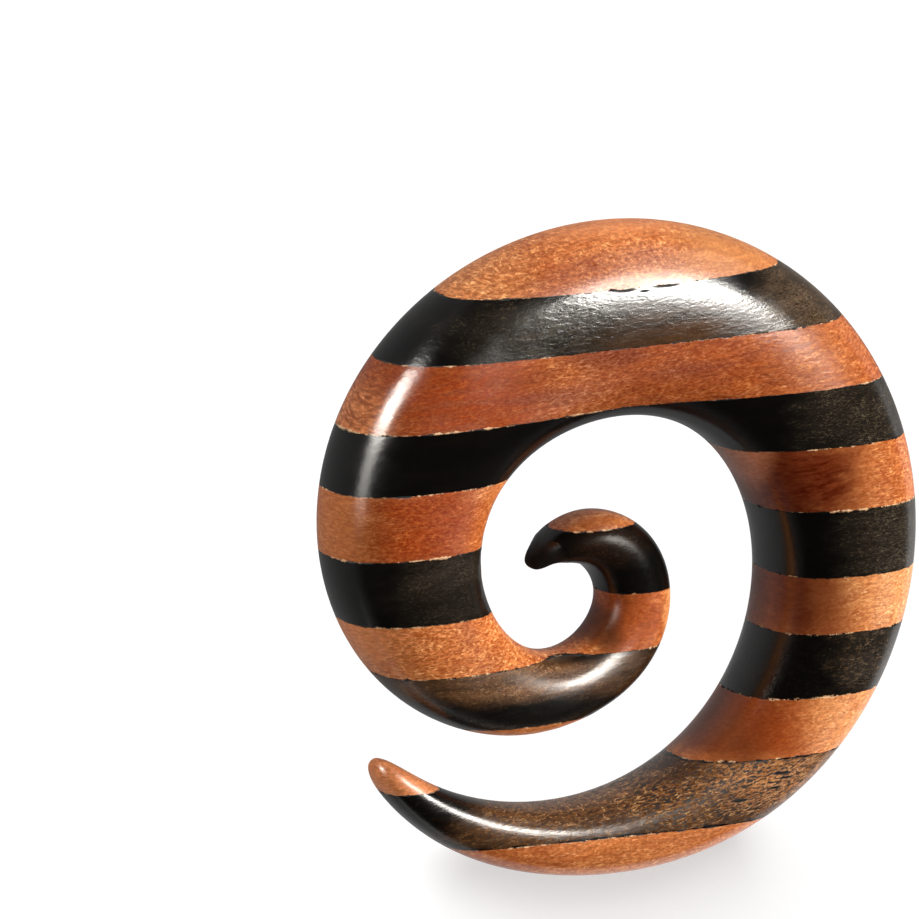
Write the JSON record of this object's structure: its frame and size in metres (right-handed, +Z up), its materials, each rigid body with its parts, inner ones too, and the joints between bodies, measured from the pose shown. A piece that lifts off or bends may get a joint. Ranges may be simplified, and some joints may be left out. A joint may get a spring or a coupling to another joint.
{
  "type": "spiral ear taper",
  "caption": "Flat spiral ear taper carved from glued layers of light and dark wood, thickest at the top of its coil and pointed at its outer end.",
  "frame": {"origin": "under the middle of the coil, at the surface that it lies on", "axes": "+Z up, out of the front face of the coil as it lies flat; +X along the glue joints, to the right seen from the front; +Y across the joints, towards the thick top of the coil"},
  "size_m": [0.0488, 0.0502, 0.0117],
  "materials": {
    "light_wood": "reddish-orange hardwood with fine grain along the joints, waxed to a satin polish",
    "dark_wood": "near-black hardwood with brown streaks and short pores, waxed to a satin polish"
  },
  "bodies": {
    "root": {"top_cap_light": "light_wood", "arch_light": "light_wood", "upper_left_light": "light_wood", "curl_cap_light": "light_wood", "upper_right_light": "light_wood", "coil_light": "light_wood", "right_light": "light_wood", "coil_foot_light": "light_wood", "lower_right_light": "light_wood", "tip_light": "light_wood", "base_light": "light_wood", "crown_dark": "dark_wood", "arch_dark": "dark_wood", "left_dark": "dark_wood", "curl_dark": "dark_wood", "right_dark": "dark_wood", "coil_dark": "dark_wood", "lower_right_dark": "dark_wood", "base_dark": "dark_wood"}
  },
  "joints": []
}
